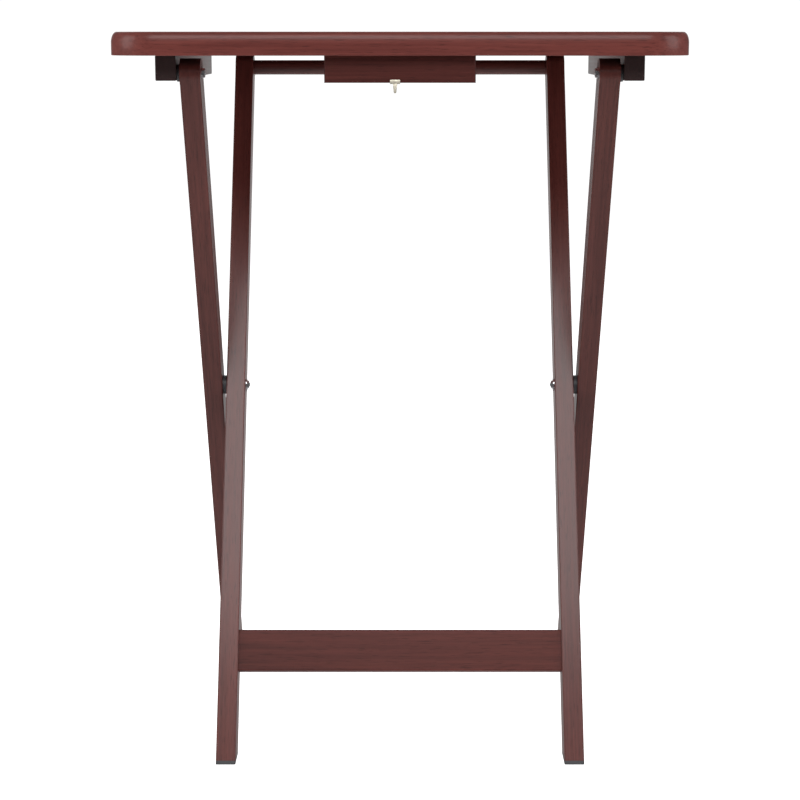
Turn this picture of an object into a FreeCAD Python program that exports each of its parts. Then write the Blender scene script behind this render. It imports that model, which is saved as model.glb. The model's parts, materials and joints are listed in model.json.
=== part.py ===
import FreeCAD, Part
import math
import os
import re

# Folding tray table. Millimetres, +Z up, front towards -Y, left towards -X.
# The outer legs lean forwards and carry the tray on two front pivots.
# The inner legs lean backwards, cross the outer ones on a bolt at mid height,
# and hold the round dowel that the tray's rear end rests on.

doc = FreeCAD.newDocument("tray_table")
dims = doc.addObject("Spreadsheet::Sheet", "dims")

VALUES = [
    # overall sizes
    ("overall_height", 655.0),
    ("tray_width", 498.0),
    ("tray_depth", 372.0),
    ("tray_thickness", 20.0),
    ("tray_corner", 45.0),
    ("tray_roundover", 7.0),
    # where the legs turn
    ("pivot_inset", 38.5),
    ("leg_top_clear", 2.5),
    ("mid_share", 0.513),
    # legs
    ("leg_width", 18.0),
    ("leg_depth", 25.0),
    ("leg_ease", 1.2),
    ("leg_gap", 3.8),
    ("pad_thickness", 3.2),
    # cleats under the tray, one outside each outer leg
    ("cleat_inset", 39.5),
    ("cleat_width", 17.5),
    ("cleat_below", 6.5),
    ("cleat_lead", 11.0),
    ("cleat_rear_inset", 44.5),
    ("cleat_ease", 1.0),
    ("tray_gap", 3.0),
    # rail between the inner legs
    ("rail_height", 37.6),
    ("rail_thickness", 14.0),
    ("rail_setback", 3.0),
    ("rail_centre", 87.5),
    ("rail_ease", 1.0),
    # dowel and the blocks that meet it
    ("dowel_diameter", 14.6),
    ("dowel_clear", 0.5),
    ("rest_clear", 0.3),
    ("block_width", 128.5),
    ("block_depth", 20.0),
    ("block_gap", 1.2),
    ("block_ease", 2.0),
    ("stop_width", 110.0),
    ("stop_depth", 17.0),
    ("rest_depth", 22.0),
    # catch plate and its tongue
    ("catch_width", 8.6),
    ("catch_offset", 4.2),
    ("catch_plate", 1.0),
    ("catch_lip", 2.6),
    ("tongue_width", 3.9),
    ("tongue_length", 7.8),
    # bolts that the legs and the tray turn on
    ("bolt_radius", 2.5),
    ("bolt_clear", 0.05),
    ("face_play", 0.1),
    ("leg_head_radius", 4.9),
    ("leg_head_top", 3.4),
    ("leg_head_height", 1.3),
    ("leg_spacer_radius", 9.0),
    ("leg_washer_radius", 6.3),
    ("leg_washer_height", 1.0),
    ("leg_nut_radius", 4.0),
    ("leg_nut_height", 1.6),
    ("leg_dome_sphere", 3.9),
    ("leg_dome_angle", 45.0),
    ("tray_bolt_radius", 2.0),
    ("tray_head_radius", 4.2),
    ("tray_head_height", 2.2),
    ("tray_spacer_radius", 7.5),
    ("tray_washer_radius", 5.0),
    ("tray_washer_height", 0.6),
    ("tray_nut_radius", 4.0),
    ("tray_nut_height", 2.4),
    # wood screws
    ("screw_head", 3.8),
    ("screw_radius", 1.9),
    ("screw_cone", 2.4),
    ("screw_length", 32.0),
    ("small_head", 2.6),
    ("small_radius", 1.2),
    ("small_cone", 1.0),
    ("small_length", 13.0),
    ("rail_screw_length", 40.0),
    ("rail_screw_step", 11.0),
    ("block_screw_spread", 45.0),
    ("stop_screw_spread", 38.0),
    ("cleat_screw_end", 34.0),
]
for row, (alias, value) in enumerate(VALUES, start=1):
    dims.set("A%d" % row, alias)
    dims.set("B%d" % row, str(value))
    dims.setAlias("B%d" % row, alias)
doc.recompute()

WORDS = sorted((name for name, _ in VALUES), key=len, reverse=True)
PATTERN = re.compile(r"\b(" + "|".join(WORDS) + r")\b")


def formula(text):
    """Write a formula in sheet names, and get it back as a document expression."""
    return PATTERN.sub(r"dims.\1", str(text))


def bind(item, prop, text):
    item.setExpression(prop, formula(text))


def put(item, at, axis=(0, 0, 1), turn=0.0, angle=None):
    """Place an item by three formulas, turned about an axis."""
    item.Placement = FreeCAD.Placement(
        FreeCAD.Vector(0, 0, 0), FreeCAD.Rotation(FreeCAD.Vector(*axis), turn)
    )
    for name, text in zip("xyz", at):
        bind(item, "Placement.Base." + name, text)
    if angle is not None:
        # a small turn first keeps the stored axis
        item.Placement.Rotation = FreeCAD.Rotation(FreeCAD.Vector(*axis), 10.0)
        bind(item, "Placement.Rotation.Angle", angle)
    return item


def box(name, at, size):
    item = doc.addObject("Part::Box", name)
    for prop, text in zip(("Length", "Width", "Height"), size):
        bind(item, prop, text)
    return put(item, at)


TURNS = {
    "x": ((0, 1, 0), 90.0),
    "-x": ((0, 1, 0), -90.0),
    "y": ((1, 0, 0), -90.0),
    "z": ((0, 0, 1), 0.0),
}


def rod(name, at, radius, length, way):
    item = doc.addObject("Part::Cylinder", name)
    bind(item, "Radius", radius)
    bind(item, "Height", length)
    return put(item, at, *TURNS[way])


def cone(name, at, first, second, length, way):
    item = doc.addObject("Part::Cone", name)
    bind(item, "Radius1", first)
    bind(item, "Radius2", second)
    bind(item, "Height", length)
    return put(item, at, *TURNS[way])


def hexagon(name, at, radius, length, way):
    item = doc.addObject("Part::Prism", name)
    item.Polygon = 6
    bind(item, "Circumradius", radius)
    bind(item, "Height", length)
    return put(item, at, *TURNS[way])


def fuse(name, items):
    item = doc.addObject("Part::MultiFuse", name)
    item.Shapes = items
    return item


def cut(name, base, tools):
    """Take one or more tools away from a base."""
    tool = tools[0] if len(tools) == 1 else fuse(name + "_tools", tools)
    item = doc.addObject("Part::Cut", name)
    item.Base = base
    item.Tool = tool
    return item


def common(name, first, second):
    item = doc.addObject("Part::Common", name)
    item.Base = first
    item.Tool = second
    return item


def group(name, items):
    item = doc.addObject("Part::Compound", name)
    item.Links = items
    return item


def long_edges(shape, axis):
    """Names of the straight edges that run along one axis."""
    names = []
    for number, edge in enumerate(shape.Edges, start=1):
        if edge.Curve.TypeId != "Part::GeomLine":
            continue
        run = edge.Vertexes[-1].Point - edge.Vertexes[0].Point
        if abs(abs(run.dot(axis)) - run.Length) < 1e-6:
            names.append("Edge%d" % number)
    return names


def rim_edges(shape, height):
    """Names of the edges that lie at one height."""
    names = []
    for number, edge in enumerate(shape.Edges, start=1):
        if all(abs(v.Point.z - height) < 1e-6 for v in edge.Vertexes):
            names.append("Edge%d" % number)
    return names


def stock(name, size, ease, axis):
    """A body: one block with the edges along an axis eased."""
    body = doc.addObject("PartDesign::Body", name)
    block = doc.addObject("PartDesign::AdditiveBox", name + "_block")
    body.addObject(block)
    for prop, text in zip(("Length", "Width", "Height"), size):
        bind(block, prop, text)
    doc.recompute()
    edges = doc.addObject("PartDesign::Fillet", name + "_ease")
    body.addObject(edges)
    edges.Base = (block, long_edges(block.Shape, FreeCAD.Vector(*axis)))
    bind(edges, "Radius", ease)
    body.Tip = edges
    doc.recompute()
    return body


# Shared positions, as formulas.
UNDERSIDE = "(overall_height - tray_thickness)"
PIVOT_DROP = "(leg_depth / 2 + leg_top_clear)"
CLEAT_HIGH = "(" + PIVOT_DROP + " + cleat_below)"
PIVOT_Z = "(" + UNDERSIDE + " - " + PIVOT_DROP + ")"
RUN = "(tray_depth / 2 - pivot_inset)"
MID_Z = "(" + PIVOT_Z + " * mid_share)"
RISE = "(" + PIVOT_Z + " - " + MID_Z + ")"
TILT = "atan(" + RUN + " / " + RISE + ")"
HALF_LEG = "sqrt(" + RUN + " * " + RUN + " + " + RISE + " * " + RISE + ")"
CLEAT_OUT = "(tray_width / 2 - cleat_inset)"
CLEAT_IN = "(" + CLEAT_OUT + " - cleat_width)"
OUTER_OUT = "(" + CLEAT_IN + " - tray_gap)"
OUTER_IN = "(" + OUTER_OUT + " - leg_width)"
INNER_OUT = "(" + OUTER_IN + " - leg_gap)"
INNER_IN = "(" + INNER_OUT + " - leg_width)"
CLEAT_Z = "(" + UNDERSIDE + " - " + CLEAT_HIGH + ")"
CLEAT_FRONT = "(-" + RUN + " - cleat_lead)"
CLEAT_REAR = "(tray_depth / 2 - cleat_rear_inset)"
BLOCK_HIGH = "(" + PIVOT_DROP + " + dowel_diameter / 2 + dowel_clear)"
BLOCK_Z = "(" + UNDERSIDE + " - " + BLOCK_HIGH + ")"
BLOCK_REAR = "(-" + RUN + " - dowel_diameter / 2 - block_gap)"
BLOCK_FRONT = "(" + BLOCK_REAR + " - block_depth)"
STOP_FRONT = "(" + RUN + " + dowel_diameter / 2 + dowel_clear)"

SIDES = (("left", -1, "-x"), ("right", 1, "x"))
INWARD = {"-x": "x", "x": "-x"}
nodes = []


def keep(item, name):
    item.Label = name
    nodes.append(item)
    return item


# ---------------------------------------------------------------- screws
def screw(name, at, way, head, radius, cone_high, length):
    """Countersunk screw: at is the centre of its flat head face."""
    step = {"x": (1, 0, 0), "-x": (-1, 0, 0), "z": (0, 0, 1), "y": (0, 1, 0)}[way]
    tip = []
    for text, way_part in zip(at, step):
        tip.append("%s + (%d) * %s" % (text, way_part, cone_high))
    top = cone(name + "_head", at, head, radius, cone_high, way)
    shank = rod(name + "_shank", tip, radius, "%s - %s" % (length, cone_high), way)
    return fuse(name, [top, shank])


def wood_screw(name, at, way="z", length="screw_length"):
    return screw(name, at, way, "screw_head", "screw_radius", "screw_cone", length)


cleat_screws = {}
for side, sign, way in SIDES:
    cleat_screws[side] = []
    across = "%d * (%s + cleat_width / 2)" % (sign, CLEAT_IN)
    spots = (
        CLEAT_FRONT + " + cleat_screw_end",
        "(%s + %s) / 2" % (CLEAT_FRONT, CLEAT_REAR),
        CLEAT_REAR + " - cleat_screw_end",
    )
    for number, along in enumerate(spots, start=1):
        name = "cleat_screw_%s_%d" % (side, number)
        cleat_screws[side].append(wood_screw(name, (across, along, CLEAT_Z)))

block_screws = []
stop_screws = []
for side, sign, way in SIDES:
    spot = ("%d * block_screw_spread" % sign, BLOCK_REAR + " - block_depth / 2", BLOCK_Z)
    block_screws.append(wood_screw("block_screw_" + side, spot))
    spot = ("%d * stop_screw_spread" % sign, STOP_FRONT + " + stop_depth / 2", BLOCK_Z)
    stop_screws.append(wood_screw("stop_screw_" + side, spot))

PLATE_Z = "(" + BLOCK_Z + " - catch_plate)"
catch_screw = screw(
    "catch_screw_body",
    ("-catch_offset", BLOCK_REAR + " - block_depth / 2", PLATE_Z),
    "z", "small_head", "small_radius", "small_cone", "small_length",
)

# ---------------------------------------------------------------- tray top
tray_body = doc.addObject("PartDesign::Body", "tray_body")
slab = doc.addObject("PartDesign::AdditiveBox", "tray_slab")
tray_body.addObject(slab)
bind(slab, "Length", "tray_width")
bind(slab, "Width", "tray_depth")
bind(slab, "Height", "tray_thickness")
doc.recompute()
corners = doc.addObject("PartDesign::Fillet", "tray_corners")
tray_body.addObject(corners)
corners.Base = (slab, long_edges(slab.Shape, FreeCAD.Vector(0, 0, 1)))
bind(corners, "Radius", "tray_corner")
tray_body.Tip = corners
doc.recompute()
rim = doc.addObject("PartDesign::Fillet", "tray_rim")
tray_body.addObject(rim)
rim.Base = (corners, rim_edges(corners.Shape, dims.tray_thickness))
bind(rim, "Radius", "tray_roundover")
tray_body.Tip = rim
put(tray_body, ("-tray_width / 2", "-tray_depth / 2", UNDERSIDE))
tray_tools = cleat_screws["left"] + cleat_screws["right"] + block_screws + stop_screws
keep(cut("tray_top", tray_body, tray_tools), "tray_top")

# ---------------------------------------------------------------- tray pivots
# The bolt's head turns in the cleat's outer face, and a low nut clamps the bolt to the
# outer leg. The nut is thin enough for the inner leg to pass when the legs close.
bolts = []
shafts = {}
bores = {}
spacers = []
washers = []
nuts = []
for side, sign, way in SIDES:
    inward = INWARD[way]
    low = "(tray_washer_height + tray_nut_height)"
    span = "(%s - %s + %s)" % (CLEAT_OUT, OUTER_IN, low)
    head_at = ("%d * %s" % (sign, CLEAT_OUT), "-" + RUN, PIVOT_Z)
    head = rod("tray_head_" + side, head_at, "tray_head_radius", "tray_head_height", inward)
    shaft = rod("tray_shaft_" + side, head_at, "tray_bolt_radius", span, inward)
    shafts[side] = shaft
    bolts.append(fuse("tray_bolt_" + side, [head, shaft]))
    wide_head = rod(
        "tray_sink_" + side, head_at, "tray_head_radius + bolt_clear",
        "tray_head_height + face_play", inward,
    )
    wide_shaft = rod("tray_bore_" + side, head_at, "tray_bolt_radius + bolt_clear", span, inward)
    bores[side] = fuse("tray_room_" + side, [wide_head, wide_shaft])

    at = ("%d * %s" % (sign, OUTER_OUT), "-" + RUN, PIVOT_Z)
    ring = rod("tray_ring_" + side, at, "tray_spacer_radius", "tray_gap - face_play", way)
    spacers.append(cut("tray_spacer_" + side, ring, [shaft]))
    at = ("%d * %s" % (sign, OUTER_IN), "-" + RUN, PIVOT_Z)
    ring = rod("tray_disc_" + side, at, "tray_washer_radius", "tray_washer_height", inward)
    washers.append(cut("tray_washer_" + side, ring, [shaft]))
    at = ("%d * (%s - tray_washer_height)" % (sign, OUTER_IN), "-" + RUN, PIVOT_Z)
    ring = hexagon("tray_hex_" + side, at, "tray_nut_radius", "tray_nut_height", inward)
    nuts.append(cut("tray_nut_" + side, ring, [shaft]))

keep(group("tray_bolts", bolts), "tray_bolts")
keep(group("tray_spacers", spacers), "tray_spacers")
keep(group("tray_washers", washers), "tray_washers")
keep(group("tray_nuts", nuts), "tray_nuts")

# ---------------------------------------------------------------- cleats
for side, sign, way in SIDES:
    body = stock(
        "cleat_stock_" + side,
        ("cleat_width", "%s - %s" % (CLEAT_REAR, CLEAT_FRONT), CLEAT_HIGH),
        "cleat_ease", (0, 1, 0),
    )
    start = CLEAT_IN if sign > 0 else "-" + CLEAT_OUT
    put(body, (start, CLEAT_FRONT, CLEAT_Z))
    name = "cleat_" + side
    keep(cut(name, body, cleat_screws[side] + [bores[side]]), name)
keep(group("cleat_screws", cleat_screws["left"] + cleat_screws["right"]), "cleat_screws")

# ---------------------------------------------------------------- mid pivots
leg_bolts = []
leg_shafts = {}
leg_bores = {}
leg_spacers = []
leg_washers = []
leg_nuts = []
for side, sign, way in SIDES:
    inward = INWARD[way]
    face = "%d * %s" % (sign, OUTER_OUT)
    stack = "(face_play + leg_washer_height + leg_nut_height)"
    span = "(%s - %s + %s)" % (OUTER_OUT, INNER_IN, stack)
    head = cone(
        "leg_head_" + side, (face, "0", MID_Z),
        "leg_head_radius", "leg_head_top", "leg_head_height", way,
    )
    shaft = rod("leg_shaft_" + side, (face, "0", MID_Z), "bolt_radius", span, inward)
    leg_shafts[side] = shaft
    leg_bolts.append(fuse("leg_bolt_" + side, [head, shaft]))
    leg_bores[side] = rod(
        "leg_bore_" + side, (face, "0", MID_Z), "bolt_radius + bolt_clear", span, inward,
    )
    at = ("%d * %s" % (sign, OUTER_IN), "0", MID_Z)
    ring = rod("leg_ring_" + side, at, "leg_spacer_radius", "leg_gap - face_play", inward)
    leg_spacers.append(cut("leg_spacer_" + side, ring, [shaft]))
    at = ("%d * (%s - face_play)" % (sign, INNER_IN), "0", MID_Z)
    ring = rod("leg_disc_" + side, at, "leg_washer_radius", "leg_washer_height", inward)
    leg_washers.append(cut("leg_washer_" + side, ring, [shaft]))
    nut_face = "(%s - face_play - leg_washer_height)" % INNER_IN
    at = ("%d * %s" % (sign, nut_face), "0", MID_Z)
    ring = hexagon("leg_hex_" + side, at, "leg_nut_radius", "leg_nut_height", inward)
    dome = doc.addObject("Part::Sphere", "leg_dome_" + side)
    bind(dome, "Radius", "leg_dome_sphere")
    bind(dome, "Angle1", "leg_dome_angle")
    sink = "leg_dome_sphere * sin(leg_dome_angle * 1 deg)"
    at = ("%d * (%s - leg_nut_height + %s)" % (sign, nut_face, sink), "0", MID_Z)
    put(dome, at, *TURNS[inward])
    leg_nuts.append(cut("leg_nut_" + side, fuse("leg_cap_" + side, [ring, dome]), [shaft]))

# ---------------------------------------------------------------- legs
# Each leg is one straight bar with a rounded top end, cut level at the foot.
REACH = "(%s / cos(%s) + leg_depth)" % (MID_Z, TILT)


def leg_bar(name, start, lean):
    """A whole bar from below the floor to its rounded top, leaned about the mid pivot."""
    body = stock(name, ("leg_width", "leg_depth", REACH + " + " + HALF_LEG), "leg_ease", (0, 0, 1))
    put(body, ("0", "-leg_depth / 2", "-" + REACH))
    tip = rod(name + "_tip", ("0", "0", HALF_LEG), "leg_depth / 2", "leg_width", "x")
    bar = fuse(name + "_bar", [body, tip])
    return put(bar, (start, "0", MID_Z), axis=(lean, 0, 0), angle=TILT)


floor_cut = box(
    "floor_cut", ("-tray_width", "-tray_depth", "-overall_height"),
    ("2 * tray_width", "2 * tray_depth", "overall_height + pad_thickness"),
)
pad_slice = box(
    "pad_slice", ("-tray_width", "-tray_depth", "0"),
    ("2 * tray_width", "2 * tray_depth", "pad_thickness"),
)
dowel = rod(
    "top_dowel", ("-" + INNER_OUT, RUN, PIVOT_Z), "dowel_diameter / 2", "2 * " + INNER_OUT, "x",
)

# rail screws run into the rail's ends through the inner legs
DROP = "((%s - rail_centre) / cos(%s))" % (MID_Z, TILT)
RAIL_OFF = "(leg_depth / 2 - rail_setback - rail_thickness / 2)"
rail_screws = {}
for side, sign, way in SIDES:
    rail_screws[side] = []
    for number, step in ((1, "rail_screw_step"), (2, "-rail_screw_step")):
        reach = "(%s + (%s))" % (DROP, step)
        spot = (
            "%d * %s" % (sign, INNER_OUT),
            "-%s * sin(%s) - %s * cos(%s)" % (reach, TILT, RAIL_OFF, TILT),
            "%s - %s * cos(%s) + %s * sin(%s)" % (MID_Z, reach, TILT, RAIL_OFF, TILT),
        )
        name = "rail_screw_%s_%d" % (side, number)
        rail_screws[side].append(wood_screw(name, spot, INWARD[way], "rail_screw_length"))

pads = {"outer": [], "inner": []}
for side, sign, way in SIDES:
    start = OUTER_IN if sign > 0 else "-" + OUTER_OUT
    bar = leg_bar("outer_%s" % side, start, 1)
    name = "outer_leg_" + side
    keep(cut(name, bar, [floor_cut, leg_shafts[side], shafts[side]]), name)
    pads["outer"].append(common("outer_pad_" + side, bar, pad_slice))
    start = INNER_IN if sign > 0 else "-" + INNER_OUT
    bar = leg_bar("inner_%s" % side, start, -1)
    name = "inner_leg_" + side
    tools = [floor_cut, leg_bores[side], dowel] + rail_screws[side]
    keep(cut(name, bar, tools), name)
    pads["inner"].append(common("inner_pad_" + side, bar, pad_slice))
keep(group("outer_foot_pads", pads["outer"]), "outer_foot_pads")
keep(group("inner_foot_pads", pads["inner"]), "inner_foot_pads")
keep(dowel, "top_dowel")
keep(group("leg_bolts", leg_bolts), "leg_bolts")
keep(group("leg_spacers", leg_spacers), "leg_spacers")
keep(group("leg_washers", leg_washers), "leg_washers")
keep(group("leg_nuts", leg_nuts), "leg_nuts")

# ---------------------------------------------------------------- bottom rail
rail_body = stock(
    "rail_stock", ("2 * " + INNER_IN, "rail_thickness", "rail_height"), "rail_ease", (1, 0, 0),
)
put(rail_body, ("-" + INNER_IN, "rail_setback - leg_depth / 2", "-%s - rail_height / 2" % DROP))
rail_bar = group("rail_bar", [rail_body])
put(rail_bar, ("0", "0", MID_Z), axis=(-1, 0, 0), angle=TILT)
keep(cut("bottom_rail", rail_bar, rail_screws["left"] + rail_screws["right"]), "bottom_rail")
keep(group("rail_screws", rail_screws["left"] + rail_screws["right"]), "rail_screws")

# ---------------------------------------------------------------- front block
body = stock("block_stock", ("block_width", "block_depth", BLOCK_HIGH), "block_ease", (0, 0, 1))
put(body, ("-block_width / 2", BLOCK_FRONT, BLOCK_Z))
keep(cut("front_block", body, block_screws + [catch_screw]), "front_block")
keep(group("block_screws", block_screws), "block_screws")

# ---------------------------------------------------------------- rear stop block
# A rebate across its front takes the dowel: its ceiling carries the tray and its wall
# stops the legs from opening further.
whole = box(
    "stop_whole", ("-stop_width / 2", STOP_FRONT + " - rest_depth", BLOCK_Z),
    ("stop_width", "rest_depth + stop_depth", BLOCK_HIGH),
)
rebate = box(
    "stop_rebate", ("-stop_width", STOP_FRONT + " - 2 * rest_depth", BLOCK_Z + " - dowel_diameter"),
    ("2 * stop_width", "2 * rest_depth", "2 * dowel_diameter + dowel_clear + rest_clear"),
)
keep(cut("rear_stop_block", whole, [rebate] + stop_screws), "rear_stop_block")
keep(group("stop_screws", stop_screws), "stop_screws")

# ---------------------------------------------------------------- catch
# A bent spring plate under the front block: its lip laps the block's face, and its
# tongue hangs below the block's lower front edge.
CATCH_LEFT = "(-catch_offset - catch_width / 2)"
LIP_FRONT = "(" + BLOCK_FRONT + " - catch_plate)"
TIP_Z = "(" + PLATE_Z + " - tongue_length + tongue_width / 2)"
plate = box(
    "catch_flat", (CATCH_LEFT, LIP_FRONT, PLATE_Z),
    ("catch_width", "%s - %s" % (BLOCK_REAR, LIP_FRONT), "catch_plate"),
)
lip = box(
    "catch_lip_bar", (CATCH_LEFT, LIP_FRONT, PLATE_Z),
    ("catch_width", "catch_plate", "catch_plate + catch_lip"),
)
tongue = box(
    "catch_tongue", ("-catch_offset - tongue_width / 2", LIP_FRONT, TIP_Z),
    ("tongue_width", "catch_plate", "tongue_length - tongue_width / 2"),
)
tongue_tip = rod(
    "catch_tip", ("-catch_offset", LIP_FRONT, TIP_Z), "tongue_width / 2", "catch_plate", "y",
)
catch = fuse("catch_form", [plate, lip, tongue, tongue_tip])
keep(cut("catch_plate_strap", catch, [catch_screw]), "catch_strap")
keep(group("catch_screw", [catch_screw]), "catch_screw")

# ---------------------------------------------------------------- check and export
doc.recompute()
faults = []
for item in doc.Objects:
    if "Invalid" in item.State or "Error" in item.State:
        faults.append(item.Name + " " + ",".join(item.State))
for item in nodes:
    if item.Shape.isNull() or not item.Shape.isValid():
        faults.append(item.Label + " has a bad shape")
if faults:
    raise RuntimeError("; ".join(faults))

os.makedirs("parts", exist_ok=True)
for item in nodes:
    item.Shape.exportStep("parts/%s.step" % item.Label)
    low = item.Shape.BoundBox
    print(
        "%-18s solids %d  x %.1f..%.1f  y %.1f..%.1f  z %.1f..%.1f" % (
            item.Label, len(item.Shape.Solids),
            low.XMin, low.XMax, low.YMin, low.YMax, low.ZMin, low.ZMax,
        )
    )
pivot_z = dims.overall_height - dims.tray_thickness - dims.leg_depth / 2 - dims.leg_top_clear
run = dims.tray_depth / 2 - dims.pivot_inset
tilt = math.degrees(math.atan2(run, pivot_z * (1 - dims.mid_share)))
print("nodes", len(nodes), "tilt %.4f" % tilt)
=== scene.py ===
# %% [markdown]
# # A folding tray table
# This lesson dresses a small wooden tray table that folds flat. The engineer's model gives
# every size, so the first step only loads it and reads what it needs: where the legs cross,
# where the tray turns and how far the legs lean. Nothing here moves or resizes a piece.

# %% Load the frame
import json
import math

import bmesh
import bpy
from mathutils import Matrix, Vector


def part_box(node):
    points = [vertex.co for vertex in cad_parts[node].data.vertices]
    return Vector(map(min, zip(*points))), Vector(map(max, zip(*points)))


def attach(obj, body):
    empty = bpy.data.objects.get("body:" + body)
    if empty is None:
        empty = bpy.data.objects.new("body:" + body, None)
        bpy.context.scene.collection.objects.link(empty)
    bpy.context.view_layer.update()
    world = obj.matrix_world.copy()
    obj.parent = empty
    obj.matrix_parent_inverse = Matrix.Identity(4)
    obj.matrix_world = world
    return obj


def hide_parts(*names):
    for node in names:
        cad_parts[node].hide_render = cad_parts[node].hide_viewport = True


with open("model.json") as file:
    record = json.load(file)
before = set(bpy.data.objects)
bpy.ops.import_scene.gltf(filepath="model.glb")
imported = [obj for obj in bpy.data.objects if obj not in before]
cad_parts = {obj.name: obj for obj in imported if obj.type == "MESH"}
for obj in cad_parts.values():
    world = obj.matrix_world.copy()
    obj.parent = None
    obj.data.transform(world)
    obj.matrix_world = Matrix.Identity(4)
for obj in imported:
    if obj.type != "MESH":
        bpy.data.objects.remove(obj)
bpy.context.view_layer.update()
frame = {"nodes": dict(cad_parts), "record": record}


record = frame["record"]
nodes = frame["nodes"]
joint = {item["name"]: item for item in record["behaviour"]["joints"]}
leg_cross = Vector(joint["leg_fold"]["pos_m"])
tray_pivot = Vector(joint["tray_swing"]["pos_m"])
lean = math.atan2(leg_cross.y - tray_pivot.y, tray_pivot.z - leg_cross.z)
MM = 0.001

# %% [markdown]
# ## Shader maths that reads like maths
# A wood or metal finish is a sum of a few patterns. Wiring each sum by hand hides the idea,
# so a small class wraps a socket: adding or multiplying two of them adds the Math node.
# Everything else comes from one method, which sets a node up and feeds its sockets.


# %% A wrapped socket and a finish to put nodes in
# how squarely a face looks along the grain when it starts to count as a sawn end, and fully does
SAWN = (0.80, 0.95)


class Wire:
    """One number that changes over the surface."""

    def __init__(self, finish, socket):
        self.finish = finish
        self.socket = socket

    def _maths(self, operation, first, second):
        made = self.finish.add("ShaderNodeMath", {"operation": operation}, {0: first, 1: second})
        return Wire(self.finish, made.outputs[0])

    def __add__(self, other):
        return self._maths("ADD", self, other)

    def __mul__(self, other):
        return self._maths("MULTIPLY", self, other)

    def __sub__(self, other):
        return self._maths("SUBTRACT", self, other)

    def __rsub__(self, other):
        return self._maths("SUBTRACT", other, self)

    __radd__ = __add__
    __rmul__ = __mul__


class Finish:
    """A material under construction."""

    def __init__(self, name):
        self.material = bpy.data.materials.new(name)
        self.material.use_nodes = True
        self.tree = self.material.node_tree
        self.shader = self.tree.nodes["Principled BSDF"]

    def add(self, kind, settings=None, values=None):
        """Any node: its settings first, then its sockets, each a value or a link."""
        made = self.tree.nodes.new(kind)
        for name, value in (settings or {}).items():
            setattr(made, name, value)
        for key, value in (values or {}).items():
            self.feed(made.inputs[key], value)
        return made

    def feed(self, socket, value):
        if isinstance(value, Wire):
            value = value.socket
        if isinstance(value, bpy.types.NodeSocket):
            self.tree.links.new(value, socket)
        else:
            socket.default_value = value

    def set(self, **values):
        """Feed the shader's sockets: words are joined with a space and capitals."""
        for name, value in values.items():
            self.feed(self.shader.inputs[name.replace("_", " ")], value)

    def place(self, turn=(0, 0, 0), move=(0, 0, 0)):
        """Where a pattern lies on the piece: turned so that its X runs the right way."""
        spot = self.add("ShaderNodeTexCoord")
        values = {"Vector": spot.outputs["Object"], "Rotation": turn, "Location": move}
        return self.add("ShaderNodeMapping", {"vector_type": "POINT"}, values).outputs[0]

    def stretched(self, where, scale):
        values = {0: where, 1: scale}
        return self.add("ShaderNodeVectorMath", {"operation": "MULTIPLY"}, values).outputs[0]

    def end_grain(self, turn):
        """1 on the sawn ends of a bar, 0 along its sides."""
        facing = self.add("ShaderNodeTexCoord").outputs["Normal"]
        values = {"Vector": facing, "Rotation": turn}
        turned_way = self.add("ShaderNodeMapping", {"vector_type": "NORMAL"}, values).outputs[0]
        along = self.add("ShaderNodeSeparateXYZ", None, {0: turned_way}).outputs[0]
        size = self.add("ShaderNodeMath", {"operation": "ABSOLUTE"}, {0: along}).outputs[0]
        return self.between(size, *SAWN)

    def noise(self, where, scale=1.0, detail=2.0, roughness=0.5, distortion=0.0):
        values = {
            "Vector": where, "Scale": scale, "Detail": detail,
            "Roughness": roughness, "Distortion": distortion,
        }
        return Wire(self, self.add("ShaderNodeTexNoise", None, values).outputs[0])

    def between(self, wire, low, high):
        """0 below low, 1 above high, and a straight slope between."""
        values = {"Value": wire, "From Min": low, "From Max": high}
        made = self.add("ShaderNodeMapRange", {"clamp": True}, values)
        return Wire(self, made.outputs[0])

    def tint(self, share, first, second):
        """A colour between two others."""
        made = self.add("ShaderNodeMix", {"data_type": "RGBA"})
        self.feed(made.inputs["Factor"], share)
        self.feed(made.inputs[6], first)
        self.feed(made.inputs[7], second)
        return made.outputs[2]

    def bump(self, height, strength, distance):
        values = {"Height": height, "Strength": strength, "Distance": distance}
        self.feed(self.shader.inputs["Normal"], self.add("ShaderNodeBump", None, values).outputs[0])


print("shader tools ready")

# %% [markdown]
# ## Stained and lacquered wood
# The table's wood is stained a dark reddish brown under a satin lacquer. Which wood it is
# can't be told, so it is made as a close grained one, and called walnut for its colour alone.
# Such wood takes a stain almost evenly, so the grain is fine and quiet: long fibres, a slow
# figure, and short dark pores. All three are noise, stretched far along the grain. The grain
# has to follow each bar, so the pattern is turned piece by piece. Sawn ends drink more stain
# than the sides do, so a face that looks along the grain goes darker. Part of that dark grey is
# painted shade, because the ends under the tray sit in its shade. How much darker is set for each
# piece, and the tray's ends are kept close to its face.

# %% Walnut stain
DARK = (0.048, 0.0110, 0.0098, 1)
MIDDLE = (0.092, 0.0225, 0.0185, 1)
LIGHT = (0.152, 0.0395, 0.0315, 1)
PORE = (0.022, 0.0056, 0.0048, 1)
# sawn ends: darker from more stain, and partly painted shade
END_STAIN_AND_SHADE = (0.020, 0.0125, 0.0125, 1)
# how finely each pattern repeats along the grain and across it, per metre
FIBRE = (9, 420, 420)
FIGURE = (2.4, 30, 30)
CLOUD = (5, 9, 9)
DASH = (70, 1500, 1500)
# where each pattern starts to show and where it shows in full
PORE_SPAN, GRAIN_SPAN, CLOUD_SPAN = (0.60, 0.70), (0.28, 0.72), (0.25, 0.75)
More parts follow.
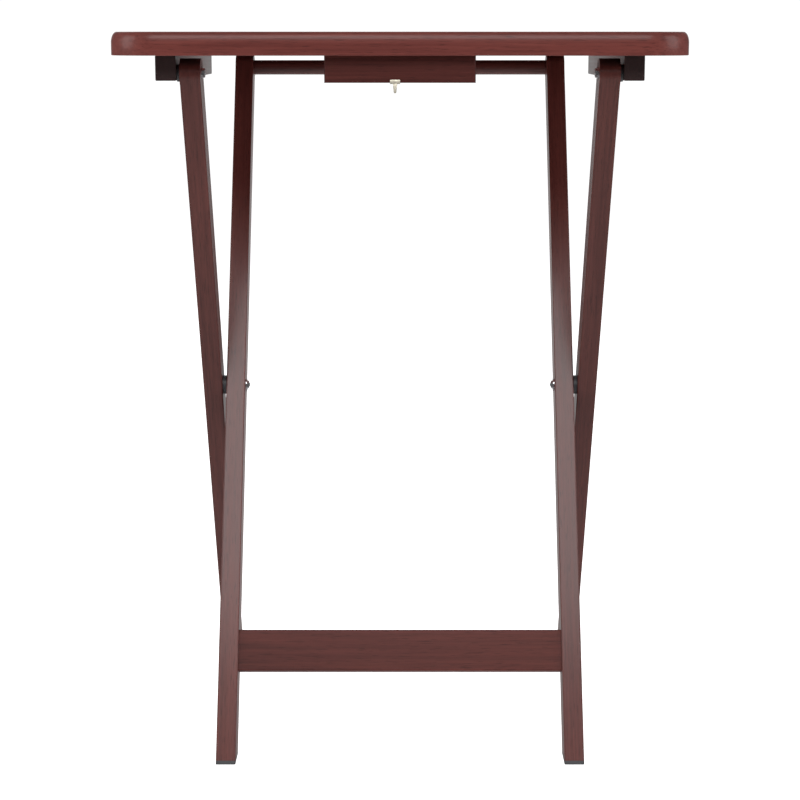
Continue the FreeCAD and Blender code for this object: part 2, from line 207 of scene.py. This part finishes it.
# how much of each goes into the grain, the colour, the roughness, the gloss and the relief
FIGURE_GRAIN, FIBRE_GRAIN = 0.45, 0.55
CLOUD_TINT, PORE_TINT = 0.45, 0.55
FIBRE_SATIN, CLOUD_SATIN = 0.16, 0.10
CLOUD_GLOSS = 0.3
FIBRE_RISE, PORE_DROP = 0.7, 0.5
MEAN = 0.5
COAT_ROUGHNESS = 0.16
SHEEN, GLOSS_SHEEN = 0.10, 0.6
RELIEF, RELIEF_DEPTH = 0.22, 0.25 * MM


def walnut(name, turn, move, depth, gloss, satin, ends=0.85):
    """Stained wood whose grain runs along X once the pattern is turned.

    depth scales the stain's colour, gloss the lacquer, satin its roughness, and ends is how
    much darker the sawn ends are, partly from more stain and partly from painted shade.
    """
    tones = (DARK, MIDDLE, LIGHT)
    dark, middle, light = [tuple(c * depth for c in tone[:3]) + (1,) for tone in tones]
    finish = Finish(name)
    where = finish.place(turn, move)
    fibre = finish.noise(finish.stretched(where, FIBRE), detail=4, roughness=0.62)
    figure = finish.noise(finish.stretched(where, FIGURE), detail=3, distortion=0.7)
    cloud = finish.noise(finish.stretched(where, CLOUD), detail=2)
    dash = finish.noise(finish.stretched(where, DASH), detail=1)
    pores = finish.between(dash, *PORE_SPAN)
    grain = finish.between(figure * FIGURE_GRAIN + fibre * FIBRE_GRAIN, *GRAIN_SPAN)
    stain = finish.tint(grain, dark, light)
    stain = finish.tint(finish.between(cloud, *CLOUD_SPAN) * CLOUD_TINT, stain, middle)
    stain = finish.tint(pores * PORE_TINT, stain, PORE)
    # darker sawn ends: partly more stain, partly painted shade
    stain = finish.tint(finish.end_grain(turn) * ends, stain, END_STAIN_AND_SHADE)
    finish.set(
        Base_Color=stain,
        Roughness=satin + FIBRE_SATIN * (fibre - MEAN) + CLOUD_SATIN * (cloud - MEAN),
        Coat_Weight=gloss + CLOUD_GLOSS * gloss * (cloud - MEAN),
        Coat_Roughness=COAT_ROUGHNESS,
        Specular_IOR_Level=SHEEN + GLOSS_SHEEN * gloss,
    )
    finish.bump(fibre * FIBRE_RISE - pores * PORE_DROP, RELIEF, RELIEF_DEPTH)
    return finish.material


QUARTER = math.pi / 2
ALONG_X = (0, 0, 0)
ALONG_Y = (0, 0, QUARTER)
OUTER_GRAIN = (-lean, QUARTER, 0)
INNER_GRAIN = (lean, QUARTER, 0)
print("grain turned by", [round(math.degrees(a), 1) for a in OUTER_GRAIN])

# %% [markdown]
# ## Metal and plastic
# The bolts, nuts and washers are taken as zinc plated, which is usual: bright, a little blue,
# with fine marks from the press. The catch is a strip of pale metal. The spacers and feet are
# taken as dark grey moulded plastic, which has a fine even grain and no metal shine.


# %% Small hardware finishes
HAZE_SCALE, HAZE_SPAN, DULLER = 260, (0.3, 0.7), 0.72
SCUFF_ROUGH, HAZE_ROUGH = 0.22, 0.12
SCUFF_RELIEF, SCUFF_DEPTH = 0.12, 0.08 * MM
SPECK_SCALE, SPECK_ROUGH = 2200, 0.15
SPECK_RELIEF, SPECK_DEPTH = 0.25, 0.06 * MM
WEAR_SCALE, WEAR_SPAN, WEAR_TINT, PALER = 90, (0.35, 0.75), 0.5, 1.7


def plated(name, colour, rough, marks):
    """Plated metal with scuffs, stretched by marks along each axis."""
    finish = Finish(name)
    where = finish.place()
    scuff = finish.noise(finish.stretched(where, marks), detail=3)
    haze = finish.noise(where, scale=HAZE_SCALE, detail=2)
    dull = tuple(c * DULLER for c in colour) + (1,)
    finish.set(
        Base_Color=finish.tint(finish.between(haze, *HAZE_SPAN), colour + (1,), dull),
        Metallic=1.0,
        Roughness=rough + SCUFF_ROUGH * (scuff - MEAN) + HAZE_ROUGH * (haze - MEAN),
    )
    finish.bump(scuff, SCUFF_RELIEF, SCUFF_DEPTH)
    return finish.material


def moulded(name, colour, rough):
    """Moulded plastic with a fine, even grain."""
    finish = Finish(name)
    where = finish.place()
    speck = finish.noise(where, scale=SPECK_SCALE, detail=2)
    wear = finish.noise(where, scale=WEAR_SCALE, detail=3)
    pale = tuple(c * PALER for c in colour) + (1,)
    worn = finish.between(wear, *WEAR_SPAN) * WEAR_TINT
    finish.set(
        Base_Color=finish.tint(worn, colour + (1,), pale),
        Roughness=rough + SPECK_ROUGH * (speck - MEAN),
    )
    finish.bump(speck, SPECK_RELIEF, SPECK_DEPTH)
    return finish.material


zinc = plated("zinc_plate", (0.70, 0.71, 0.73), 0.26, (900, 900, 900))
spring_strip = plated("spring_strip", (0.95, 0.89, 0.74), 0.50, (300, 2600, 300))
spacer_plastic = moulded("spacer_plastic", (0.035, 0.036, 0.040), 0.48)
foot_plastic = moulded("foot_plastic", (0.030, 0.030, 0.033), 0.55)
print("finishes", [m.name for m in (zinc, spring_strip, spacer_plastic, foot_plastic)])

# %% [markdown]
# ## The pieces that keep their shape
# Most pieces are plain bars, discs and pads. The engineer's model already gives their shape, so
# they only need a finish. One wood material could serve every bar, but each bar runs its own
# way and was cut from its own board, so each gets its own pattern. The stain's depth and the
# lacquer's gloss are set for each too, by comparing colours, and so they also make up for this
# light. On the real table they may well be alike.


# %% Dress the pieces that keep their shape
def dress(node, material):
    """Give a carried-over piece its finish."""
    for slot in nodes[node].material_slots:
        slot.material = material


# node, way of the grain, depth of the stain, gloss and roughness of the lacquer
WOODEN = [
    ("cleat_left", ALONG_Y, 0.70, 0.30, 0.40),
    ("cleat_right", ALONG_Y, 0.70, 0.30, 0.40),
    ("front_block", ALONG_X, 0.68, 0.03, 0.50),
    ("rear_stop_block", ALONG_X, 0.68, 0.03, 0.50),
    ("outer_leg_left", OUTER_GRAIN, 0.72, 0.24, 0.38),
    ("outer_leg_right", OUTER_GRAIN, 0.72, 0.24, 0.38),
    ("inner_leg_left", INNER_GRAIN, 0.88, 0.28, 0.36),
    ("inner_leg_right", INNER_GRAIN, 0.88, 0.28, 0.36),
    ("bottom_rail", ALONG_X, 0.80, 0.06, 0.50),
    ("top_dowel", ALONG_X, 0.80, 0.32, 0.42),
]
# each piece was cut from its own board, so its pattern starts this much further on
NEXT_BOARD = (0.37, 0.71, 0.53)
for count, (node, turn, depth, gloss, satin) in enumerate(WOODEN, start=1):
    board = tuple(step * count for step in NEXT_BOARD)
    dress(node, walnut("walnut_" + node, turn, board, depth, gloss, satin))
for node in ("tray_bolts", "tray_washers", "tray_nuts", "leg_washers", "leg_nuts"):
    dress(node, zinc)
for node in ("tray_spacers", "leg_spacers"):
    dress(node, spacer_plastic)
for node in ("outer_foot_pads", "inner_foot_pads"):
    dress(node, foot_plastic)
print("wooden pieces dressed:", len(WOODEN))

# %% [markdown]
# ## The tray board
# The board is a slab with rounded corners and a soft upper edge: the router leaves a profile
# like a quarter of a tall ellipse, and the lower edge stays crisp. That is a rule, so it suits
# Geometry Nodes: a rectangle gets filleted corners, the edge profile is swept round it, and two
# flat faces close it. The profile itself is a short curve, worked out from the ellipse.

# %% A node group builder for Geometry Nodes
INPUT_KINDS = {float: "NodeSocketFloat", int: "NodeSocketInt"}


class Plan:
    """A Geometry Nodes tree under construction, with named inputs."""

    def __init__(self, name, inputs):
        self.tree = bpy.data.node_groups.new(name, "GeometryNodeTree")
        face = self.tree.interface
        face.new_socket("Geometry", in_out="INPUT", socket_type="NodeSocketGeometry")
        for title, value in inputs.items():
            kind = INPUT_KINDS.get(type(value), "NodeSocketMaterial")
            face.new_socket(title, in_out="INPUT", socket_type=kind)
        face.new_socket("Geometry", in_out="OUTPUT", socket_type="NodeSocketGeometry")
        self.given = self.tree.nodes.new("NodeGroupInput")
        self.result = self.tree.nodes.new("NodeGroupOutput")
        self.inputs = inputs

    def add(self, kind, settings=None, values=None):
        made = self.tree.nodes.new(kind)
        for name, value in (settings or {}).items():
            setattr(made, name, value)
        for key, value in (values or {}).items():
            for one in value if isinstance(value, list) else [value]:
                if isinstance(one, bpy.types.NodeSocket):
                    self.tree.links.new(one, made.inputs[key])
                else:
                    made.inputs[key].default_value = one
        return made.outputs[0]

    def maths(self, operation, first, second):
        return self.add("ShaderNodeMath", {"operation": operation}, {0: first, 1: second})

    def vector(self, x=0.0, y=0.0, z=0.0):
        return self.add("ShaderNodeCombineXYZ", None, {0: x, 1: y, 2: z})

    def title(self, name):
        return self.given.outputs[name]

    def finish(self, shape, material="Finish"):
        real = self.add("GeometryNodeRealizeInstances", None, {0: shape})
        done = self.add(
            "GeometryNodeSetMaterial", None, {"Geometry": real, "Material": self.title(material)},
        )
        self.tree.links.new(done, self.result.inputs[0])

    def grow(self, name, base):
        """Run the tree on a base object and keep the result as one plain mesh."""
        bpy.context.scene.collection.objects.link(base)
        modifier = base.modifiers.new("grow", "NODES")
        modifier.node_group = self.tree
        for item in self.tree.interface.items_tree:
            if item.in_out == "INPUT" and item.name in self.inputs:
                modifier[item.identifier] = self.inputs[item.name]
        return made_plain(base, name)


def made_plain(base, name):
    """Keep what an object's modifiers make as one plain mesh, and drop the object."""
    evaluated = base.evaluated_get(bpy.context.evaluated_depsgraph_get())
    mesh = bpy.data.meshes.new_from_object(evaluated)
    mesh.name = name
    bpy.data.objects.remove(base)
    piece = bpy.data.objects.new(name, mesh)
    bpy.context.scene.collection.objects.link(piece)
    return piece


def line_of(points):
    """A poly curve through points."""
    curve = bpy.data.curves.new("guide", "CURVE")
    curve.dimensions = "3D"
    spline = curve.splines.new("POLY")
    spline.points.add(len(points) - 1)
    for spot, point in zip(spline.points, points):
        spot.co = (*point, 1)
    return bpy.data.objects.new("guide", curve)


print("geometry tools ready")

# %% The board's sizes and edge profile
board_low, board_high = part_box("tray_top")
thick = board_high.z - board_low.z
CORNER = 45 * MM
EDGE_WIDE = 5.0 * MM
EDGE_TALL = 9.4 * MM
CRISP = 0.6 * MM
ARRIS = 0.3 * CRISP
STEPS = 14
WELD = 0.02 * MM


def edge_profile():
    """From the underside, out to the lower arris, up the face and over the soft upper edge.

    A swept profile's second axis runs down the board, so the heights are turned over.
    """
    points = [(0, 0), (EDGE_WIDE - CRISP, 0), (EDGE_WIDE - ARRIS, ARRIS)]
    points.append((EDGE_WIDE, CRISP))
    for step in range(STEPS + 1):
        angle = QUARTER * step / STEPS
        points.append((
            EDGE_WIDE * math.cos(angle),
            thick - EDGE_TALL + EDGE_TALL * math.sin(angle),
        ))
    return [(x, -y, 0) for x, y in points]


print("profile points", len(edge_profile()))

# %% Sweep the profile round the board
size = board_high - board_low
BOARD_START = (0.2, 0.4, 0.1)
# as with the bars, depth and gloss were set by comparing colours, so this lighter stain is partly
# painted light
wood = walnut(
    "walnut_tray_top", ALONG_X, BOARD_START, depth=1.5, gloss=0.13, satin=0.38, ends=0.1,
)
plan = Plan("tray_board_plan", {
    "Flat Width": size.x - 2 * EDGE_WIDE,
    "Flat Depth": size.y - 2 * EDGE_WIDE,
    "Corner Radius": CORNER - EDGE_WIDE,
    "Corner Points": 22,
    "Thickness": thick,
    "Finish": wood,
})
sheet = plan.add("GeometryNodeCurvePrimitiveQuadrilateral", None, {
    "Width": plan.title("Flat Width"), "Height": plan.title("Flat Depth"),
})
outline = plan.add("GeometryNodeFilletCurve", {"mode": "POLY"}, {
    "Curve": sheet, "Count": plan.title("Corner Points"), "Radius": plan.title("Corner Radius"),
})
upright = plan.add("GeometryNodeSetCurveNormal", {"mode": "Z_UP"}, {"Curve": outline})
wall = plan.add("GeometryNodeCurveToMesh", None, {
    "Curve": upright, "Profile Curve": plan.title("Geometry"),
})
flat = plan.add("GeometryNodeFillCurve", None, {"Curve": outline})
roof = plan.add("GeometryNodeTransform", None, {
    "Geometry": flat, "Translation": plan.vector(z=plan.title("Thickness")),
})
under = plan.add("GeometryNodeFlipFaces", None, {"Mesh": flat})
shell = plan.add("GeometryNodeJoinGeometry", None, {"Geometry": [wall, roof, under]})
shell = plan.add("GeometryNodeMergeByDistance", None, {"Geometry": shell, "Distance": WELD})
plan.finish(shell)
board = plan.grow("tray_board", line_of(edge_profile()))


def extent(piece):
    """Lowest and highest corner of a mesh, in millimetres."""
    spots = [v.co for v in piece.data.vertices]
    low = [round(min(co[i] for co in spots) / MM, 2) for i in range(3)]
    high = [round(max(co[i] for co in spots) / MM, 2) for i in range(3)]
    return low, high


print("board as grown", extent(board))

# %% [markdown]
# The sweep leaves the board centred at the floor, so its mesh is raised to its height. It is
# shaded smooth, and edges sharper than a set angle stay crisp, so the broad faces read flat
# while the moulded edge reads round.


# %% Place the board
def settle(piece, node_names, body, sharp=35):
    """Finish a piece: smooth up to an angle, ride on its body and stand for its nodes."""
    mesh = piece.data
    shape = bmesh.new()
    shape.from_mesh(mesh)
    bmesh.ops.recalc_face_normals(shape, faces=shape.faces)
    gaps = sum(1 for edge in shape.edges if not edge.is_manifold)
    shape.to_mesh(mesh)
    shape.free()
    mesh.shade_smooth()
    mesh.set_sharp_from_angle(angle=math.radians(sharp))
    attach(piece, body)
    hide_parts(*node_names)
    triangles = sum(len(p.vertices) - 2 for p in mesh.polygons)
    print(piece.name, "on", body, "triangles", triangles, "open edges", gaps, extent(piece))


board.data.transform(Matrix.Translation((0, 0, board_low.z)))
settle(board, ["tray_top"], "tray")

# %% [markdown]
# ## Wood screws
# Something has to hold the cleats, the blocks and the rail, and on a table like this it is
# usually countersunk screws with a cross recess. They are all one shape, so one Geometry Nodes
# tree makes the screw and sets a copy on every point it is given. Each point carries the way
# its screw drives, and the copy turns to suit.

# %% The screw tree
HEAD, SHANK, CONE, LENGTH = 3.8 * MM, 1.9 * MM, 2.4 * MM, 32 * MM
screw_inputs = {
    "Head Radius": HEAD, "Shank Radius": SHANK, "Cone Height": CONE,
    "Length": LENGTH, "Sides": 28, "Finish": zinc,
}
screws = Plan("countersunk_screws", screw_inputs)
head = screws.add("GeometryNodeMeshCone", None, {
    "Vertices": screws.title("Sides"), "Radius Bottom": screws.title("Head Radius"),
    "Radius Top": screws.title("Shank Radius"), "Depth": screws.title("Cone Height"),
})
# the recess, as shares of the head's radius and height, and the point's share of the shank
SLOT_SPAN, SLOT_WIDTH, SLOT_DEPTH, POINT_SHARE = 1.25, 0.24, 1.1, 0.35
across = screws.maths("MULTIPLY", screws.title("Head Radius"), SLOT_SPAN)
narrow = screws.maths("MULTIPLY", screws.title("Head Radius"), SLOT_WIDTH)
deep = screws.maths("MULTIPLY", screws.title("Cone Height"), SLOT_DEPTH)
slots = [
    screws.add("GeometryNodeMeshCube", None, {"Size": screws.vector(across, narrow, deep)}),
    screws.add("GeometryNodeMeshCube", None, {"Size": screws.vector(narrow, across, deep)}),
]
cross_cut = {"operation": "DIFFERENCE", "solver": "EXACT"}
for slot in slots:
    head = screws.add("GeometryNodeMeshBoolean", cross_cut, {"Mesh 1": head, "Mesh 2": slot})
run = screws.maths("SUBTRACT", screws.title("Length"), screws.title("Cone Height"))
point = screws.maths("MULTIPLY", screws.title("Shank Radius"), POINT_SHARE)
shank = screws.add("GeometryNodeMeshCone", None, {
    "Vertices": screws.title("Sides"), "Radius Bottom": screws.title("Shank Radius"),
    "Radius Top": point, "Depth": run,
})
shank = screws.add("GeometryNodeTransform", None, {
    "Geometry": shank, "Translation": screws.vector(z=screws.title("Cone Height")),
})
whole = screws.add("GeometryNodeJoinGeometry", None, {"Geometry": [head, shank]})
aim = screws.add("GeometryNodeInputNamedAttribute", {"data_type": "FLOAT_VECTOR"}, {"Name": "aim"})
facing = screws.add("FunctionNodeAlignRotationToVector", {"axis": "Z"}, {"Vector": aim})
placed = screws.add("GeometryNodeInstanceOnPoints", None, {
    "Points": screws.title("Geometry"), "Instance": whole, "Rotation": facing,
})
screws.finish(placed)
print("screw tree nodes", len(screws.tree.nodes))


# %% Screws on their points
def islands(node):
    """The lowest and highest corner of each separate solid in a node."""
    shape = bmesh.new()
    shape.from_mesh(nodes[node].data)
    bmesh.ops.remove_doubles(shape, verts=shape.verts, dist=0.01 * MM)
    left = set(shape.verts)
    found = []
    while left:
        reach = [left.pop()]
        spots = []
        while reach:
            vertex = reach.pop()
            spots.append(vertex.co.copy())
            for edge in vertex.link_edges:
                other = edge.other_vert(vertex)
                if other in left:
                    left.remove(other)
                    reach.append(other)
        low = Vector(min(co[i] for co in spots) for i in range(3))
        high = Vector(max(co[i] for co in spots) for i in range(3))
        found.append((low, high))
    shape.free()
    return sorted(found, key=lambda box: tuple(round(v, 4) for v in box[0]))


def drive(name, node, body, sizes=None, sideways=False):
    """A set of screws, one for each solid of a node, heads where the node's heads are."""
    heads = []
    aims = []
    for low, high in islands(node):
        middle = (low + high) / 2
        if sideways:
            side = math.copysign(1, middle.x)
            heads.append((high.x if side > 0 else low.x, middle.y, middle.z))
            aims.append((-side, 0, 0))
        else:
            heads.append((middle.x, middle.y, low.z))
            aims.append((0, 0, 1))
    mesh = bpy.data.meshes.new("points")
    mesh.from_pydata(heads, [], [])
    store = mesh.attributes.new("aim", "FLOAT_VECTOR", "POINT")
    for item, direction in zip(store.data, aims):
        item.vector = direction
    screws.inputs = dict(screw_inputs, **(sizes or {}))
    piece = screws.grow(name, bpy.data.objects.new("points", mesh))
    settle(piece, [node], body, sharp=30)


drive("cleat_wood_screws", "cleat_screws", "tray")
drive("block_wood_screws", "block_screws", "tray")
drive("stop_wood_screws", "stop_screws", "tray")
rail_sizes = {"Length": 40 * MM}
drive("rail_wood_screws", "rail_screws", "inner_frame", rail_sizes, sideways=True)
small_sizes = {
    "Head Radius": 2.6 * MM, "Shank Radius": 1.2 * MM, "Cone Height": 1.0 * MM, "Length": 13 * MM,
}
drive("catch_plate_screw", "catch_screw", "tray", small_sizes)

# %% [markdown]
# ## Turned hardware
# A bolt is a turned part, so half of its outline is enough: a short list of radii along the
# axle, spun round it. Its low round head is a smooth arc, which is what catches the light.


# %% A lathe
POLE = 0.02 * MM


def turned(shape, outline, middle, side, sides=40):
    """Spin an outline of (along, radius) about X, from a middle point towards one side."""
    rings = []
    for along, radius in outline:
        ring = []
        for step in range(sides):
            angle = 2 * math.pi * step / sides
            offset = Vector((side * along, radius * math.cos(angle), radius * math.sin(angle)))
            ring.append(shape.verts.new(middle + offset))
        rings.append(ring)
    for first, second in zip(rings, rings[1:]):
        for step in range(sides):
            after = (step + 1) % sides
            shape.faces.new((first[step], first[after], second[after], second[step]))
    shape.faces.new(rings[0])
    shape.faces.new(rings[-1])


def as_piece(name, shape, material):
    """An object from a finished bmesh, with one material."""
    mesh = bpy.data.meshes.new(name)
    shape.to_mesh(mesh)
    shape.free()
    mesh.materials.append(material)
    piece = bpy.data.objects.new(name, mesh)
    bpy.context.scene.collection.objects.link(piece)
    return piece


def dome(start, radius, rise, steps=8):
    """Outline points of a dome that rises from a flat, ending almost at the axle."""
    points = []
    for step in range(steps + 1):
        angle = QUARTER * step / steps
        near = max(radius * math.cos(angle), POLE)
        points.append((start + rise * math.sin(angle), near))
    return points


print("lathe ready")

# %% Leg bolts
shape = bmesh.new()
SHAFT = 2.5 * MM
HEAD_RADIUS = 4.9 * MM
HEAD_RISE = 1.3 * MM
RIM = 0.25 * MM
for low, high in islands("leg_bolts"):
    middle = (low + high) / 2
    side = math.copysign(1, middle.x)
    tip = abs(high.x if side > 0 else low.x)
    inner = abs(low.x if side > 0 else high.x)
    face = tip - HEAD_RISE
    start = Vector((0, middle.y, middle.z))
    shoulder = face + RIM
    outline = [(inner, SHAFT), (face, SHAFT), (face, HEAD_RADIUS)]
    turned(shape, outline + dome(shoulder, HEAD_RADIUS, HEAD_RISE - RIM), start, side)
settle(as_piece("leg_pivot_bolts", shape, zinc), ["leg_bolts"], "outer_legs")

# %% [markdown]
# ## The catch
# A strip of thin metal is taken as screwed under the front block. It laps the block's front
# face, and a narrow tongue hangs from its front edge, tapered to a round tip. Thin bent metal
# never has dead sharp edges, so the strip gets a small bevel.


# %% Catch strip
def slab(shape, low, high):
    """Add a rectangular block between two corners."""
    made = bmesh.ops.create_cube(shape, size=1.0)
    centre = (low + high) / 2
    for vertex in made["verts"]:
        vertex.co = Vector(vertex.co[i] * (high - low)[i] + centre[i] for i in range(3))


catch_low, catch_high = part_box("catch_strap")
block_low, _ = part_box("front_block")
GAUGE = 1.0 * MM
TONGUE = 3.9 * MM
SINK = 0.4 * GAUGE
SOFT_EDGE = 0.18 * MM
TIP_RADIUS = 0.30 * TONGUE
middle_x = (catch_low.x + catch_high.x) / 2
profile = [(-TONGUE / 2, block_low.z - SINK)]
ROUND_STEPS = 10
for step in range(ROUND_STEPS + 1):
    angle = math.pi + math.pi * step / ROUND_STEPS
    profile.append((
        TIP_RADIUS * math.cos(angle),
        catch_low.z + TIP_RADIUS + TIP_RADIUS * math.sin(angle),
    ))
profile.append((TONGUE / 2, block_low.z - SINK))
shape = bmesh.new()
front = [shape.verts.new((middle_x + x, catch_low.y, z)) for x, z in profile]
face = shape.faces.new(front)
grown = bmesh.ops.extrude_face_region(shape, geom=[face])["geom"]
for item in grown:
    if isinstance(item, bmesh.types.BMVert):
        item.co.y += GAUGE
lip_low = Vector((catch_low.x, catch_low.y, block_low.z - GAUGE))
lip_high = Vector((catch_high.x, catch_low.y + GAUGE, catch_high.z))
slab(shape, lip_low, lip_high)
plate_low = Vector((catch_low.x, catch_low.y + GAUGE, block_low.z - GAUGE))
plate_high = Vector((catch_high.x, catch_high.y, block_low.z))
slab(shape, plate_low, plate_high)
strip = as_piece("catch_strip_blank", shape, spring_strip)
bevel = strip.modifiers.new("soft_edges", "BEVEL")
bevel.width = SOFT_EDGE
bevel.segments = 2
bevel.limit_method = "ANGLE"
settle(made_plain(strip, "catch_strip"), ["catch_strap"], "tray")

# %% [markdown]
# ## Floor, light and camera
# A pale floor that fades into a white room suits a dark table. The floor gives off light of its
# own, which keeps it white into the distance, but hardly any shadow shows on it. Soft light
# comes from a wide panel above and in front, so the legs that lean back catch it and the ones
# that lean forward stay dark under the tray. A weaker one behind keeps the back readable.
# Lacquer shows whatever stands around it, so the room is plain white to the camera alone. To
# everything else it is dim, with light behind the table, faintly overhead and low down, and
# mirror-like reflections don't see the floor. The camera is a long lens at tray height, tipped
# down to take in the feet. A small shift lets it tip less, so the uprights draw together less.

# %% Floor
pale = Finish("pale_floor")
pale.set(Base_Color=(0.9, 0.9, 0.9, 1), Roughness=0.9, Specular_IOR_Level=0.0)
pale.set(Emission_Color=(1, 1, 1, 1), Emission_Strength=0.92)
FRONT, SIDE, BACK = -1.0, 12, 30
mesh = bpy.data.meshes.new("floor")
corners = [(-SIDE, FRONT, 0), (SIDE, FRONT, 0), (SIDE, BACK, 0), (-SIDE, BACK, 0)]
mesh.from_pydata(corners, [], [(0, 1, 2, 3)])
mesh.materials.append(pale.material)
floor = bpy.data.objects.new("floor", mesh)
bpy.context.scene.collection.objects.link(floor)
floor.visible_glossy = False
print("floor reaches from", FRONT, "to", BACK)

# %% Room
world = bpy.data.worlds.new("white_room")
bpy.context.scene.world = world
world.use_nodes = True
room = world.node_tree


def room_node(kind, settings=None, values=None):
    """Add a node to the room's tree and give back its first output."""
    made = room.nodes.new(kind)
    for name, value in (settings or {}).items():
        setattr(made, name, value)
    for key, value in (values or {}).items():
        if isinstance(value, bpy.types.NodeSocket):
            room.links.new(value, made.inputs[key])
        else:
            made.inputs[key].default_value = value
    return made.outputs[0]


def slope(value, start, end):
    """A smooth ramp from 0 at start to 1 at end."""
    values = {"Value": value, "From Min": start, "From Max": end}
    return room_node("ShaderNodeMapRange", {"interpolation_type": "SMOOTHSTEP"}, values)


OVERHEAD, GROUND = 0.12, 0.95
DIM, BRIGHT, SEEN = 0.12, 0.62, 1.05
heading = room.nodes.new("ShaderNodeTexCoord").outputs["Generated"]
split = room.nodes.new("ShaderNodeSeparateXYZ")
room.links.new(heading, split.inputs[0])
above = slope(split.outputs["Z"], 0.02, 0.55)
overhead = room_node("ShaderNodeMath", {"operation": "MULTIPLY"}, {0: above, 1: OVERHEAD})
behind = slope(split.outputs["Y"], 0.84, 0.97)
below = slope(split.outputs["Z"], -0.30, -0.85)
ground = room_node("ShaderNodeMath", {"operation": "MULTIPLY"}, {0: below, 1: GROUND})
lit = room_node("ShaderNodeMath", {"operation": "MAXIMUM"}, {0: overhead, 1: behind})
lit = room_node("ShaderNodeMath", {"operation": "MAXIMUM"}, {0: lit, 1: ground})
span = room_node("ShaderNodeMath", {"operation": "MULTIPLY_ADD"}, {0: lit, 1: BRIGHT - DIM, 2: DIM})
direct = room.nodes.new("ShaderNodeLightPath").outputs["Is Camera Ray"]
strength = room_node("ShaderNodeMix", {"data_type": "FLOAT"}, {0: direct, 2: span, 3: SEEN})
back = room.nodes["Background"]
back.inputs["Color"].default_value = (1, 1, 1, 1)
room.links.new(strength, back.inputs["Strength"])
bpy.context.scene.view_settings.view_transform = "Standard"
print("room nodes", len(room.nodes))


# %% Light panels
def panel(name, place, towards, width, height, power):
    """A soft rectangular light, turned to face a point."""
    light = bpy.data.lights.new(name, "AREA")
    light.shape = "RECTANGLE"
    light.size = width
    light.size_y = height
    light.energy = power
    lamp = bpy.data.objects.new(name, light)
    lamp.location = place
    lamp.rotation_euler = (Vector(towards) - Vector(place)).to_track_quat("-Z", "Y").to_euler()
    bpy.context.scene.collection.objects.link(lamp)


panel("front_panel", (0, -2.3, 2.3), (0, 0, 0.3), 2.8, 1.3, 62)
panel("side_panel_left", (-2.6, -0.6, 1.2), (0, 0, 0.4), 1.4, 1.8, 28)
panel("side_panel_right", (2.6, -0.6, 1.2), (0, 0, 0.4), 1.4, 1.8, 28)
panel("back_panel", (0, 2.4, 2.4), (0, 0, 0.3), 2.8, 1.3, 16)

# %% Camera
DISTANCE = 1.717
EYE_HEIGHT = 0.650
TIP_DOWN = 9.40
LENS = 81.1
SHIFT = -0.08
lens = bpy.data.cameras.new("long_lens")
lens.lens = LENS
lens.sensor_width = 36
lens.shift_y = SHIFT
camera = bpy.data.objects.new("long_lens", lens)
camera.location = (0, -DISTANCE, EYE_HEIGHT)
camera.rotation_euler = (math.radians(90 - TIP_DOWN), 0, 0)
bpy.context.scene.collection.objects.link(camera)
bpy.context.scene.camera = camera
print("camera", tuple(round(v, 3) for v in camera.location))
